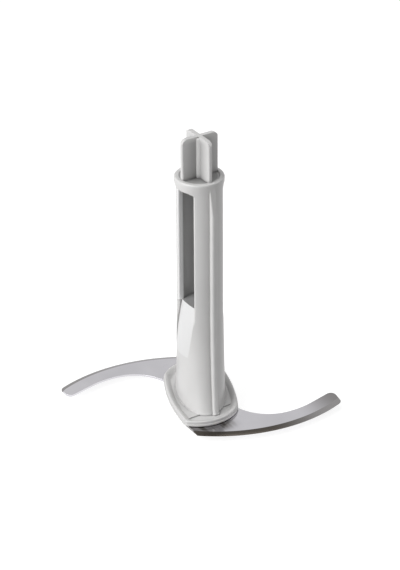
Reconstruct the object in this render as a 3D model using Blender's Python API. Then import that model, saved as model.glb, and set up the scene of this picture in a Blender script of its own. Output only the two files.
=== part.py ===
"""Food processor blade: a moulded hub on a stamped steel S blade, closed below by a base cap.

Metres, +Z up. The origin is on the spindle axis, in the plane that the base cap rests on.
The windows of the hub face +X and -X, its ribs run up the +Y and -Y sides, and the whole
part repeats after half a turn about the axis.
"""

import math

import bmesh
import bpy
from mathutils import Matrix, Vector

# Clearance between pieces that seat on each other
SEAT_GAP = 0.0003

# Base cap
CAP_RADIUS = 0.0134
CAP_HEIGHT = 0.0041
CAP_EDGE = 0.0008
SPIGOT_RADIUS = 0.0066
SPIGOT_LENGTH = 0.0250
SPIGOT_LEAD_IN = 0.0008
PIN_BORE_RADIUS = 0.0042
PIN_BORE_DEPTH = 0.0265
PIN_BORE_LEAD_IN = 0.0007
REST_RING_INNER_RADIUS = 0.0086
REST_RING_DEPTH = 0.0010
PEG_POCKET_DEPTH = 0.0022

# Steel blade, seen from above: a circle for the cutting edge, a straight tip and a hollow back
BLADE_THICKNESS = 0.0011
CUT_CREST = Vector((-0.0305, 0.0524))
CUT_RADIUS = 0.0834
GRIND_WIDTH = 0.0031
EDGE_THICKNESS = 0.00015
HEEL_REACH = 0.0230
TIP_REACH = 0.0608
TIP_NOSE_RADIUS = 0.0045
TIP_BACK_RADIUS = 0.0015
TIP_WIDTH = 0.0104
BACK_RADIUS = 0.0446
ROOT_CENTRE = Vector((-0.0323, 0.0168))
ROOT_RADIUS = 0.0239
ROOT_JOIN_ANGLE = math.radians(81.8)
ROOT_END_ANGLE = math.radians(-25.0)

# Hub foot, seen from above: two end circles and two side circles with rounded corners
FOOT_END_CENTRE = Vector((0.0074, 0.0082))
FOOT_END_RADIUS = 0.0226
FOOT_SIDE_CENTRE = Vector((-0.0880, 0.0345))
FOOT_SIDE_RADIUS = 0.1129
FOOT_LEADING_CORNER = 0.0026
FOOT_TRAILING_CORNER = 0.0032
LIP_HEIGHT = 0.0009
LIP_STEP = 0.0003
BEAD_HEIGHT = 0.0028
BEAD_WIDTH = 0.0019
FLOOR_HEIGHT = 0.0009
DECK_HEIGHT = 0.0015
DECK_HALF_LENGTH = 0.0197

# Hub body: a round shaft that flares into an ellipse turned away from the ribs
SHAFT_RADIUS = 0.0125
SHAFT_LENGTH = 0.1262
FLARE_LENGTH = 0.0580
FLARE_POWER = 2.0
BASE_LONG_RADIUS = 0.0242
BASE_SHORT_RADIUS = 0.0130
BASE_TURN = math.radians(66.5)
BASE_FILLET = 0.0010

# Ribs up the two closed sides
RIB_WIDTH = 0.0036
RIB_HEIGHT = 0.0025
RIB_EDGE = 0.0008
RIB_BASE_SHIFT = Vector((0.0053, 0.0095))
RIB_RUN_OUT = 0.0172
RIB_FLUSH = 0.00015

# Hollow shaft and its two scooped windows
WALL_THICKNESS = 0.0036
WINDOW_HALF_WIDTH = 0.0073
WINDOW_CORNER = 0.0015
WINDOW_EDGE = 0.0010
WINDOW_EDGE_STOP = math.radians(20)
SILL_HEIGHT = 0.0562
SCOOP_LENGTH = 0.0262
SILL_REACH = 0.0064
SILL_BULGE = 0.0008
SILL_THICKNESS = 0.0025
SCOOP_ENTRY = 0.20
SCOOP_POWER = 2.6
SCOOP_OVERCUT = 1.005
CORE_TOP_RADIUS = 0.0038

# Collar and drive cross
FIN_COUNT = 4
COLLAR_RADIUS = 0.0131
COLLAR_HEIGHT = 0.0059
COLLAR_EDGE = 0.0008
COLLAR_TAPER = 0.0030
RECESS_RADIUS = 0.0101
RECESS_DEPTH = 0.0006
FIN_REACH = 0.0110
FIN_THICKNESS = 0.00235
FIN_HEIGHT = 0.0230
FIN_SHOULDER = 0.0032
FIN_EDGE = 0.0004
POST_RADIUS = 0.0033
POST_DROP = 0.0006
POST_EDGE = 0.0009

# Pegs that key the hub, the blade and the base cap together
PEG_RADIUS = 0.0016
PEG_CIRCLE = 0.0102
PEG_LEAD_IN = 0.0003

# Fineness of the round faces
ARC_STEPS = 24
CORNER_STEPS = 5
EDGE_STEPS = 3
FLARE_STEPS = 12
SCOOP_STEPS = 12
CORE_STEPS = 6
TURN_STEPS = 48
TURN_PHASE = 0.5
TANGENT_STEP = 0.001
SMOOTH_ANGLE = math.radians(32)

# Tools reach past the faces they cut or join by this much, and clear them by this much
OVERRUN = 0.0008
CLEAR = 0.0001

# The cutting edge's circle, which touches the crest
CUT_CENTRE = CUT_CREST - Vector((0.0, CUT_RADIUS))

# Levels above the resting plane
PLATE_BOTTOM = CAP_HEIGHT + SEAT_GAP
PLATE_TOP = PLATE_BOTTOM + BLADE_THICKNESS
HUB_BOTTOM = PLATE_TOP + SEAT_GAP
FLOOR_LEVEL = HUB_BOTTOM + FLOOR_HEIGHT
DECK_LEVEL = HUB_BOTTOM + DECK_HEIGHT
FLARE_TOP = DECK_LEVEL + FLARE_LENGTH
COLLAR_LEVEL = HUB_BOTTOM + SHAFT_LENGTH
RIM_LEVEL = COLLAR_LEVEL + COLLAR_HEIGHT
RECESS_LEVEL = RIM_LEVEL - RECESS_DEPTH
RIB_TOP = RIM_LEVEL - COLLAR_EDGE
WINDOW_TOP = COLLAR_LEVEL - 2 * CLEAR
FIN_TOP = RECESS_LEVEL + FIN_HEIGHT
SILL_LEVEL = HUB_BOTTOM + SILL_HEIGHT
SCOOP_LEVEL = SILL_LEVEL - SCOOP_LENGTH
SPIGOT_TOP = CAP_HEIGHT + SPIGOT_LENGTH
SOCKET_TOP = SPIGOT_TOP + SEAT_GAP
BORE_RADIUS = SHAFT_RADIUS - WALL_THICKNESS
SOCKET_RADIUS = SPIGOT_RADIUS + SEAT_GAP
PEG_HOLE_RADIUS = PEG_RADIUS + SEAT_GAP
WINDOW_TOOL_REACH = 2 * SHAFT_RADIUS


# Plane outlines

def on_circle(centre, radius, angle):
    """The point of a circle at an angle in radians."""
    return Vector((centre.x + radius * math.cos(angle), centre.y + radius * math.sin(angle)))


def arc(centre, radius, start, end, steps):
    """Points along a circle between two angles in radians, both ends included."""
    return [on_circle(centre, radius, start + (end - start) * i / steps) for i in range(steps + 1)]


def bearing(centre, point):
    """The angle at which a point is seen from a centre."""
    return math.atan2(point.y - centre.y, point.x - centre.x)


def circles_meet(centre_a, radius_a, centre_b, radius_b, near):
    """The crossing of two circles that lies nearer to a given point."""
    across = centre_b - centre_a
    gap = across.length
    along = (gap ** 2 + radius_a ** 2 - radius_b ** 2) / (2 * gap)
    half_chord = math.sqrt(radius_a ** 2 - along ** 2)
    middle = centre_a + across * (along / gap)
    side = Vector((-across.y, across.x)) * (half_chord / gap)
    return min((middle + side, middle - side), key=lambda point: (point - near).length)


def half_turn(points):
    """The same points after half a turn about the axis."""
    return [-point for point in points]


def foot_outline(inset):
    """The foot seen from above, moved inwards by an inset that keeps its arcs concentric."""
    end_radius = FOOT_END_RADIUS - inset
    side_radius = FOOT_SIDE_RADIUS - inset
    leading = FOOT_LEADING_CORNER - inset
    trailing = FOOT_TRAILING_CORNER - inset
    right = FOOT_SIDE_CENTRE
    left = -FOOT_SIDE_CENTRE
    ahead = FOOT_END_CENTRE + Vector((FOOT_END_RADIUS, FOOT_END_RADIUS))
    behind = FOOT_END_CENTRE + Vector((-FOOT_END_RADIUS, FOOT_END_RADIUS))
    end = FOOT_END_CENTRE
    leading_centre = circles_meet(right, side_radius - leading, end, end_radius - leading, ahead)
    trailing_centre = circles_meet(left, side_radius - trailing, end, end_radius - trailing, behind)
    end_start = bearing(end, leading_centre)
    end_finish = bearing(end, trailing_centre)
    side_start = bearing(left, trailing_centre)
    side_finish = bearing(left, -leading_centre)
    if side_finish < side_start:
        side_finish += 2 * math.pi
    points = arc(leading_centre, leading, bearing(right, leading_centre), end_start, CORNER_STEPS)
    points += arc(end, end_radius, end_start, end_finish, ARC_STEPS)[1:-1]
    points += arc(trailing_centre, trailing, end_finish, side_start, CORNER_STEPS)
    points += arc(left, side_radius, side_start, side_finish, ARC_STEPS)[1:-1]
    return points + half_turn(points)


def blade_outline(cut_radius):
    """One arm of the blade from its heel round the tip to its root, then the other arm."""
    heel_rise = math.sqrt(cut_radius ** 2 - (HEEL_REACH - CUT_CENTRE.x) ** 2)
    heel = Vector((HEEL_REACH, CUT_CENTRE.y + heel_rise))
    nose_x = TIP_NOSE_RADIUS - TIP_REACH
    nose_rise = math.sqrt((cut_radius - TIP_NOSE_RADIUS) ** 2 - (nose_x - CUT_CENTRE.x) ** 2)
    nose_centre = Vector((nose_x, CUT_CENTRE.y + nose_rise))
    tip_rise = math.sqrt(CUT_RADIUS ** 2 - (TIP_REACH + CUT_CENTRE.x) ** 2)
    corner = Vector((-TIP_REACH, CUT_CENTRE.y + tip_rise - TIP_WIDTH))
    back_centre = on_circle(ROOT_CENTRE, ROOT_RADIUS - BACK_RADIUS, ROOT_JOIN_ANGLE)
    back_end = bearing(back_centre, corner) - math.acos(BACK_RADIUS / (corner - back_centre).length)
    back_corner_centre = corner + Vector((TIP_BACK_RADIUS, TIP_BACK_RADIUS * math.tan(back_end / 2)))
    points = [heel]
    nose_start = bearing(CUT_CENTRE, nose_centre)
    points += arc(CUT_CENTRE, cut_radius, bearing(CUT_CENTRE, heel), nose_start, ARC_STEPS)[1:]
    points += arc(nose_centre, TIP_NOSE_RADIUS, nose_start, math.pi, CORNER_STEPS)[1:]
    points += arc(back_corner_centre, TIP_BACK_RADIUS, math.pi, math.pi + back_end, EDGE_STEPS)
    points += arc(back_centre, BACK_RADIUS, back_end, ROOT_JOIN_ANGLE, ARC_STEPS // 2)
    root = arc(ROOT_CENTRE, ROOT_RADIUS, ROOT_JOIN_ANGLE, ROOT_END_ANGLE, ARC_STEPS)[1:]
    run = (HEEL_REACH + root[-1].x) / math.sin(ROOT_END_ANGLE)
    root_corner = root[-1] + Vector((-math.sin(ROOT_END_ANGLE), math.cos(ROOT_END_ANGLE))) * run
    points += root + [root_corner]
    return points + half_turn(points)


def ellipse_crossing(long_radius, short_radius, axis, value, side):
    """The ellipse parameter where x (axis 0) or y (axis 1) takes a value, on one side of it."""
    if axis == 0:
        even = long_radius * math.cos(BASE_TURN)
        odd = -short_radius * math.sin(BASE_TURN)
    else:
        even = long_radius * math.sin(BASE_TURN)
        odd = short_radius * math.cos(BASE_TURN)
    return math.atan2(odd, even) + side * math.acos(value / math.hypot(even, odd))


def ellipse_point(long_radius, short_radius, parameter):
    """A point on the turned ellipse that the flare ends in."""
    along = long_radius * math.cos(parameter)
    across = short_radius * math.sin(parameter)
    cosine, sine = math.cos(BASE_TURN), math.sin(BASE_TURN)
    return Vector((along * cosine - across * sine, along * sine + across * cosine))


def flare_at(level):
    """How far the flare has grown at a level: 0 on the shaft, 1 on the deck of the foot."""
    return max(0.0, min(1.0, (FLARE_TOP - level) / FLARE_LENGTH)) ** FLARE_POWER


def body_radii(level, swell=0.0):
    """Long and short half axes of the body at a level."""
    flare = flare_at(level)
    long_radius = SHAFT_RADIUS + (BASE_LONG_RADIUS - SHAFT_RADIUS) * flare + swell
    short_radius = SHAFT_RADIUS + (BASE_SHORT_RADIUS - SHAFT_RADIUS) * flare + swell
    return long_radius, short_radius


def rib_height_at(level):
    """Height of the ribs above the wall, which runs out under the rim of the collar."""
    return RIB_FLUSH + (RIB_HEIGHT - RIB_FLUSH) * max(0.0, min(1.0, (RIB_TOP - level) / RIB_RUN_OUT))


def body_outline(level, swell=0.0):
    """The body and its ribs cut at a level, grown sideways by a swell for the fillet at the foot."""
    long_radius, short_radius = body_radii(level, swell)
    shift = RIB_BASE_SHIFT * flare_at(level)
    half_width = RIB_WIDTH / 2 + swell
    crest = shift.y + SHAFT_RADIUS + rib_height_at(level) + swell
    first = ellipse_crossing(long_radius, short_radius, 0, shift.x + half_width, 1)
    last = ellipse_crossing(long_radius, short_radius, 0, half_width - shift.x, -1)
    side = [ellipse_point(long_radius, short_radius, first + (last - first) * i / ARC_STEPS)
            for i in range(ARC_STEPS + 1)]
    edge = min(RIB_EDGE, rib_height_at(level) / 2)
    right = Vector((shift.x + half_width - edge, crest - edge))
    left = Vector((shift.x - half_width + edge, crest - edge))
    rib = arc(left, edge, math.pi, math.pi / 2, EDGE_STEPS) + arc(right, edge, math.pi / 2, 0.0, EDGE_STEPS)
    points = rib + side
    return list(reversed(points + half_turn(points)))


def scoop_reach(offset, level):
    """How far out the scoop's surface lies, at a sideways offset and a level."""
    long_radius, short_radius = body_radii(level)
    outer = ellipse_point(long_radius, short_radius,
                          ellipse_crossing(long_radius, short_radius, 1, offset, -1)).x * SCOOP_OVERCUT
    rise = (level - SCOOP_LEVEL) / SCOOP_LENGTH
    depth = SCOOP_ENTRY * rise + (1 - SCOOP_ENTRY) * rise ** SCOOP_POWER
    sill = SILL_REACH + SILL_BULGE * (1 - (offset / WINDOW_HALF_WIDTH) ** 2)
    return sill + (outer - sill) * (1 - depth)


def window_jamb(level, half_width, side):
    """The rounded outer edge of a window: from the flat jamb out past the wall."""
    long_radius, short_radius = body_radii(level)
    offset = side * (half_width + WINDOW_EDGE)
    parameter = ellipse_crossing(long_radius, short_radius, 1, offset, -1)
    wall = ellipse_point(long_radius, short_radius, parameter)
    ahead = ellipse_point(long_radius, short_radius, parameter + TANGENT_STEP) - wall
    normal = Vector((ahead.y, -ahead.x)).normalized()
    centre = Vector((wall.x - WINDOW_EDGE / normal.x, offset))
    stop = abs(math.atan2(normal.y, normal.x)) - WINDOW_EDGE_STOP
    nose = [on_circle(centre, WINDOW_EDGE, side * (-math.pi / 2 + (stop + math.pi / 2) * i / CORNER_STEPS))
            for i in range(CORNER_STEPS + 1)]
    exit_point = nose[-1] + normal * OVERRUN
    return nose + [exit_point, Vector((WINDOW_TOOL_REACH, exit_point.y))]


def window_outline(level, half_width, scooped):
    """The window tool cut at a level: its inner face follows the scoop, or lies on the axis."""
    offsets = [half_width * (2 * i / ARC_STEPS - 1) for i in range(ARC_STEPS + 1)]
    back = [Vector((scoop_reach(offset, level) if scooped else 0.0, offset)) for offset in offsets]
    return back + window_jamb(level, half_width, 1) + list(reversed(window_jamb(level, half_width, -1)))


# Mesh tools

def ring_points(outline, level):
    """A plane outline lifted to a level."""
    return [(point.x, point.y, level) for point in outline]


def mesh_from_rings(name, rings):
    """A closed solid lofted through rings of equal length, listed from the bottom up."""
    first = rings[0]
    count = len(first)
    turning = sum(first[i - 1][0] * first[i][1] - first[i][0] * first[i - 1][1] for i in range(count))
    bm = bmesh.new()
    loops = [[bm.verts.new(point) for point in ring] for ring in rings]
    if turning < 0:
        loops = [list(reversed(loop)) for loop in loops]
    for lower, upper in zip(loops, loops[1:]):
        for i in range(count):
            j = (i + 1) % count
            bm.faces.new((lower[i], lower[j], upper[j], upper[i]))
    bm.faces.new(list(reversed(loops[0])))
    bm.faces.new(loops[-1])
    mesh = bpy.data.meshes.new(name)
    bm.to_mesh(mesh)
    bm.free()
    return mesh


def turned_mesh(name, profile, centre=(0.0, 0.0)):
    """A closed solid turned about a vertical axis from (radius, level) pairs, from its foot to its top."""
    bm = bmesh.new()
    columns = []
    for radius, level in profile:
        if radius == 0:
            columns.append([bm.verts.new((centre[0], centre[1], level))] * TURN_STEPS)
            continue
        ring = []
        for i in range(TURN_STEPS):
            angle = 2 * math.pi * (i + TURN_PHASE) / TURN_STEPS
            ring.append(bm.verts.new((centre[0] + radius * math.cos(angle),
                                      centre[1] + radius * math.sin(angle), level)))
        columns.append(ring)
    for lower, upper in zip(columns, columns[1:]):
        for i in range(TURN_STEPS):
            j = (i + 1) % TURN_STEPS
            corners = list(dict.fromkeys((lower[i], lower[j], upper[j], upper[i])))
            bm.faces.new(corners)
    mesh = bpy.data.meshes.new(name)
    bm.to_mesh(mesh)
    bm.free()
    return mesh


def add_object(name, mesh, material=None):
    """Links a mesh to the scene as an object; without a material it is a tool and stays hidden."""
    item = bpy.data.objects.new(name, mesh)
    bpy.context.scene.collection.objects.link(item)
    if material:
        mesh.materials.append(material)
    else:
        item.hide_render = True
        item.display_type = "WIRE"
    return item


def combine(item, tool, operation):
    """Adds an exact Boolean of a tool to an object."""
    step = item.modifiers.new(tool.name, "BOOLEAN")
    step.operation = operation
    step.object = tool
    step.solver = "EXACT"


def finish_shading(item):
    """Smooth shading that keeps real corners sharp."""
    item.data.shade_smooth()
    item.data.set_sharp_from_angle(angle=SMOOTH_ANGLE)


def make_material(name, colour, roughness, metallic):
    """A plain Principled material."""
    material = bpy.data.materials.new(name)
    material.use_nodes = True
    shader = material.node_tree.nodes["Principled BSDF"]
    shader.inputs["Base Color"].default_value = (*colour, 1.0)
    shader.inputs["Roughness"].default_value = roughness
    shader.inputs["Metallic"].default_value = metallic
    material.diffuse_color = (*colour, 1.0)
    return material


def rounded_corner(radius, level, edge, start):
    """A quarter round in a turned profile, from a start angle in degrees, turning left."""
    first = math.radians(start)
    centre = Vector((radius, level))
    return [tuple(point) for point in arc(centre, edge, first, first + math.pi / 2, EDGE_STEPS)]


def peg_places():
    """Centres of the two pegs."""
    return (0.0, PEG_CIRCLE), (0.0, -PEG_CIRCLE)


# Hub: body, foot, collar and cross joined, then the window scoops, bore and socket cut

def body_tool():
    """The flared body with its ribs, from inside the foot up to the rim of the collar."""
    rings = [ring_points(body_outline(DECK_LEVEL, BASE_FILLET), FLOOR_LEVEL - OVERRUN / 2)]
    for i in range(EDGE_STEPS + 1):
        angle = math.pi / 2 * i / EDGE_STEPS
        level = DECK_LEVEL + BASE_FILLET * (1 - math.cos(angle))
        rings.append(ring_points(body_outline(level, BASE_FILLET * (1 - math.sin(angle))), level))
    start = DECK_LEVEL + BASE_FILLET
    for i in range(1, FLARE_STEPS + 1):
        level = start + (FLARE_TOP - start) * i / FLARE_STEPS
        rings.append(ring_points(body_outline(level), level))
    for level in (RIB_TOP - RIB_RUN_OUT, RIB_TOP):
        rings.append(ring_points(body_outline(level), level))
    return mesh_from_rings("hub", rings)


def foot_tool():
    """The foot plate: a lip on the blade, a side wall and a round bead about a sunken floor."""
    lip_top = HUB_BOTTOM + LIP_HEIGHT
    bead_half = (BEAD_WIDTH - LIP_STEP) / 2
    shoulder = HUB_BOTTOM + BEAD_HEIGHT - bead_half
    rings = [ring_points(foot_outline(0.0), HUB_BOTTOM),
             ring_points(foot_outline(0.0), lip_top),
             ring_points(foot_outline(LIP_STEP), lip_top + LIP_STEP / 2)]
    steps = 2 * EDGE_STEPS
    for i in range(steps + 1):
        angle = math.pi * i / steps
        inset = LIP_STEP + bead_half * (1 - math.cos(angle))
        rings.append(ring_points(foot_outline(inset), shoulder + bead_half * math.sin(angle)))
    rings.append(ring_points(foot_outline(BEAD_WIDTH + LIP_STEP), FLOOR_LEVEL))
    return mesh_from_rings("foot", rings)


def deck_tool():
    """The raised middle of the floor, which ends in a crease near each end of the foot."""
    kept = []
    outline = foot_outline(BEAD_WIDTH)
    for point, after in zip(outline, outline[1:] + outline[:1]):
        if abs(point.y) < DECK_HALF_LENGTH:
            kept.append(point)
        if (abs(point.y) - DECK_HALF_LENGTH) * (abs(after.y) - DECK_HALF_LENGTH) < 0:
            end = math.copysign(DECK_HALF_LENGTH, point.y)
            kept.append(point.lerp(after, (end - point.y) / (after.y - point.y)))
    rings = [ring_points(kept, HUB_BOTTOM + OVERRUN / 2), ring_points(kept, DECK_LEVEL)]
    return mesh_from_rings("deck", rings)


def collar_tool():
    """The collar under the drive cross: a short taper, a round rim and a shallow recess inside it."""
    start = COLLAR_LEVEL - CLEAR
    profile = [(0.0, start), (SHAFT_RADIUS - CLEAR, start), (COLLAR_RADIUS, COLLAR_LEVEL + COLLAR_TAPER)]
    profile += rounded_corner(COLLAR_RADIUS - COLLAR_EDGE, RIM_LEVEL - COLLAR_EDGE, COLLAR_EDGE, 0)
    profile += [(RECESS_RADIUS + RECESS_DEPTH, RIM_LEVEL), (RECESS_RADIUS, RECESS_LEVEL)]
    profile.append((0.0, RECESS_LEVEL))
    return turned_mesh("collar", profile)


def fin_edge(angle):
    """The plan corners of one fin at the angle that it points to."""
    half = FIN_THICKNESS / 2
    reach = FIN_REACH - FIN_EDGE
    corners = arc(Vector((reach, -half + FIN_EDGE)), FIN_EDGE, -math.pi / 2, 0.0, EDGE_STEPS)
    corners += arc(Vector((reach, half - FIN_EDGE)), FIN_EDGE, 0.0, math.pi / 2, EDGE_STEPS)
    corners.append(Vector((half, half)))
    turn = Matrix.Rotation(angle, 2)
    return [turn @ corner for corner in corners]


def cross_tool():
    """The four upright fins that the drive shaft grips, before their shoulders are rounded."""
    outline = []
    for i in range(FIN_COUNT):
        outline += fin_edge(2 * math.pi * i / FIN_COUNT)
    base = RECESS_LEVEL - OVERRUN / 2
    return mesh_from_rings("cross", [ring_points(outline, base), ring_points(outline, FIN_TOP + OVERRUN)])


def shoulder_tool():
    """The turned shape that rounds the outer shoulders of the fins."""
    reach = FIN_REACH + OVERRUN
    low = RECESS_LEVEL - OVERRUN
    profile = [(0.0, low), (reach, low), (reach, FIN_TOP - FIN_SHOULDER)]
    centre = Vector((FIN_REACH - FIN_SHOULDER, FIN_TOP - FIN_SHOULDER))
    profile += [tuple(point) for point in arc(centre, FIN_SHOULDER, 0.0, math.pi / 2, 2 * CORNER_STEPS)]
    profile.append((0.0, FIN_TOP))
    return turned_mesh("shoulder", profile)


def post_tool():
    """The round post where the fins cross."""
    top = FIN_TOP - POST_DROP
    profile = [(0.0, RECESS_LEVEL - OVERRUN / 4), (POST_RADIUS, RECESS_LEVEL - OVERRUN / 4)]
    profile += rounded_corner(POST_RADIUS - POST_EDGE, top - POST_EDGE, POST_EDGE, 0)
    profile.append((0.0, top))
    return turned_mesh("post", profile)


def window_tool():
    """The space of one window: the scoop, its sill and the opening above it."""
    levels = [SCOOP_LEVEL + SCOOP_LENGTH * i / SCOOP_STEPS for i in range(SCOOP_STEPS + 1)]
    levels.append(SILL_LEVEL + CLEAR)
    rings = [ring_points(window_outline(level, WINDOW_HALF_WIDTH, True), level) for level in levels]
    level = SILL_LEVEL + 2 * CLEAR
    rings.append(ring_points(window_outline(level, WINDOW_HALF_WIDTH, False), level))
    for i in range(CORNER_STEPS + 1):
        angle = math.pi / 2 * i / CORNER_STEPS
        level = WINDOW_TOP - WINDOW_CORNER * (1 - math.sin(angle))
        half_width = WINDOW_HALF_WIDTH - WINDOW_CORNER * (1 - math.cos(angle))
        rings.append(ring_points(window_outline(level, half_width, False), level))
    return mesh_from_rings("window", rings)


def bore_tool():
    """The hollow of the shaft between the sills and the collar."""
    ceiling = COLLAR_LEVEL + SEAT_GAP
    return turned_mesh("bore", [(0.0, SILL_LEVEL), (BORE_RADIUS, SILL_LEVEL), (BORE_RADIUS, ceiling),
                                (0.0, ceiling)])


def core_tool():
    """The cored space between the two scoops, from the socket up to a closed floor at the sills."""
    low = SOCKET_TOP - OVERRUN
    high = SILL_LEVEL - SILL_THICKNESS
    start = SOCKET_RADIUS - OVERRUN
    sides = TURN_STEPS // 2
    phase = 2 * math.pi * TURN_PHASE / sides
    rings = []
    for i in range(CORE_STEPS + 1):
        share = i / CORE_STEPS
        radius = start + (CORE_TOP_RADIUS - start) * share
        circle = arc(Vector((0.0, 0.0)), radius, phase, phase + 2 * math.pi, sides)[:-1]
        rings.append(ring_points(circle, low + (high - low) * share))
    return mesh_from_rings("core", rings)


def socket_tool():
    """The socket that the spigot of the base cap fills."""
    low = HUB_BOTTOM - OVERRUN
    profile = [(0.0, low), (SOCKET_RADIUS, low), (SOCKET_RADIUS, SOCKET_TOP), (0.0, SOCKET_TOP)]
    return turned_mesh("socket", profile)


def peg_tool(place):
    """A peg under the foot, through the blade into the base cap."""
    low = CAP_HEIGHT - PEG_POCKET_DEPTH + SEAT_GAP
    profile = [(0.0, low), (PEG_RADIUS - PEG_LEAD_IN, low), (PEG_RADIUS, low + PEG_LEAD_IN),
               (PEG_RADIUS, HUB_BOTTOM + OVERRUN), (0.0, HUB_BOTTOM + OVERRUN)]
    return turned_mesh("peg", profile, place)


def make_hub(material):
    """The light grey moulding."""
    hub = add_object("hub", body_tool(), material)
    cross = add_object("cross_tool", cross_tool())
    combine(cross, add_object("shoulder_tool", shoulder_tool()), "INTERSECT")
    combine(cross, add_object("post_tool", post_tool()), "UNION")
    for name, mesh in (("foot", foot_tool()), ("deck", deck_tool()), ("collar", collar_tool())):
        combine(hub, add_object(name + "_tool", mesh), "UNION")
    combine(hub, cross, "UNION")
    for i, place in enumerate(peg_places()):
        combine(hub, add_object(f"peg_tool_{i + 1}", peg_tool(place)), "UNION")
    for name, mesh in (("core", core_tool()), ("socket", socket_tool()), ("bore", bore_tool())):
        combine(hub, add_object(name + "_tool", mesh), "DIFFERENCE")
    window = add_object("window_tool_1", window_tool())
    opposite = add_object("window_tool_2", window.data)
    opposite.rotation_euler.z = math.pi
    for tool in (window, opposite):
        combine(hub, tool, "DIFFERENCE")
    finish_shading(hub)
    return hub


# Steel blade

def make_blade(material):
    """The stamped S plate with its ground bevel, centre hole and peg holes."""
    full = blade_outline(CUT_RADIUS)
    ground = blade_outline(CUT_RADIUS - GRIND_WIDTH)
    rings = [ring_points(full, PLATE_BOTTOM), ring_points(full, PLATE_BOTTOM + EDGE_THICKNESS),
             ring_points(ground, PLATE_TOP)]
    blade = add_object("blade", mesh_from_rings("blade", rings), material)
    holes = [((0.0, 0.0), SOCKET_RADIUS)] + [(place, PEG_HOLE_RADIUS) for place in peg_places()]
    low = PLATE_BOTTOM - OVERRUN
    high = PLATE_TOP + OVERRUN
    for i, (place, radius) in enumerate(holes):
        profile = [(0.0, low), (radius, low), (radius, high), (0.0, high)]
        tool = add_object(f"blade_hole_tool_{i + 1}", turned_mesh("hole", profile, place))
        combine(blade, tool, "DIFFERENCE")
    finish_shading(blade)
    return blade


# Base cap

def make_base_cap(material):
    """The cap under the blade: a flange with a rest ring, and a spigot with the bore for the bowl's pin."""
    profile = [(0.0, PIN_BORE_DEPTH), (PIN_BORE_RADIUS, PIN_BORE_DEPTH),
               (PIN_BORE_RADIUS, PIN_BORE_LEAD_IN + REST_RING_DEPTH),
               (PIN_BORE_RADIUS + PIN_BORE_LEAD_IN, REST_RING_DEPTH),
               (REST_RING_INNER_RADIUS, REST_RING_DEPTH), (REST_RING_INNER_RADIUS, 0.0)]
    profile += rounded_corner(CAP_RADIUS - CAP_EDGE, CAP_EDGE, CAP_EDGE, -90)
    profile += rounded_corner(CAP_RADIUS - CAP_EDGE, CAP_HEIGHT - CAP_EDGE, CAP_EDGE, 0)
    profile += [(SPIGOT_RADIUS, CAP_HEIGHT), (SPIGOT_RADIUS, SPIGOT_TOP - SPIGOT_LEAD_IN),
                (SPIGOT_RADIUS - SPIGOT_LEAD_IN, SPIGOT_TOP), (0.0, SPIGOT_TOP)]
    cap = add_object("base_cap", turned_mesh("base_cap", profile), material)
    low = CAP_HEIGHT - PEG_POCKET_DEPTH
    high = CAP_HEIGHT + OVERRUN
    for i, place in enumerate(peg_places()):
        pocket = [(0.0, low), (PEG_HOLE_RADIUS, low), (PEG_HOLE_RADIUS, high), (0.0, high)]
        combine(cap, add_object(f"pocket_tool_{i + 1}", turned_mesh("pocket", pocket, place)), "DIFFERENCE")
    finish_shading(cap)
    return cap


def main():
    for item in list(bpy.data.objects):
        bpy.data.objects.remove(item, do_unlink=True)
    grey_plastic = make_material("light grey moulded plastic", (0.578, 0.584, 0.565), 0.38, 0.0)
    steel = make_material("ground stainless steel", (0.62, 0.61, 0.64), 0.22, 1.0)
    cap_plastic = make_material("base cap plastic", (0.500, 0.505, 0.490), 0.45, 0.0)
    make_hub(grey_plastic)
    make_blade(steel)
    make_base_cap(cap_plastic)


main()
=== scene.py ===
"""The looks of the food processor blade: moulded hub, ground steel knife, base cap and a white studio."""

import math

import bmesh
import bpy
from mathutils import Matrix, Vector


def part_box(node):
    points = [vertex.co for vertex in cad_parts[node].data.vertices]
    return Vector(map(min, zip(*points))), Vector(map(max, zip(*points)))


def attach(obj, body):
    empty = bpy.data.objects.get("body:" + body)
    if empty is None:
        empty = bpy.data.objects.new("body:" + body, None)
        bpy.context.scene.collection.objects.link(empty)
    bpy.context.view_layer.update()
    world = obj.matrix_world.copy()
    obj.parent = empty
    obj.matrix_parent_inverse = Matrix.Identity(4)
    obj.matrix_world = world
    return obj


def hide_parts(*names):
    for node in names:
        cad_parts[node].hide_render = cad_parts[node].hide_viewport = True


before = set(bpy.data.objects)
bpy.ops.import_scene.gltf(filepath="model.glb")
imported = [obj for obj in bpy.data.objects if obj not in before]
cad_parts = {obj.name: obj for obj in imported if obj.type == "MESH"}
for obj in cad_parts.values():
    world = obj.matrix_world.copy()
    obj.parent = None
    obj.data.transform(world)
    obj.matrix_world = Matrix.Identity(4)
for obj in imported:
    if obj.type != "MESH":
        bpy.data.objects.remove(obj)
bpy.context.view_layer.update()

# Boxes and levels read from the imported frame, in metres, and the gap between seated pieces
PLATE_LOW, PLATE_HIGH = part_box("blade")
HUB_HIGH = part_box("hub")[1]
CAP_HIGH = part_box("base_cap")[1]
SEAT_GAP = 0.0003
PLATE_BOTTOM = PLATE_LOW.z
PLATE_TOP = PLATE_HIGH.z
HUB_BOTTOM = PLATE_TOP + SEAT_GAP
FIN_TOP = HUB_HIGH.z

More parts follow.
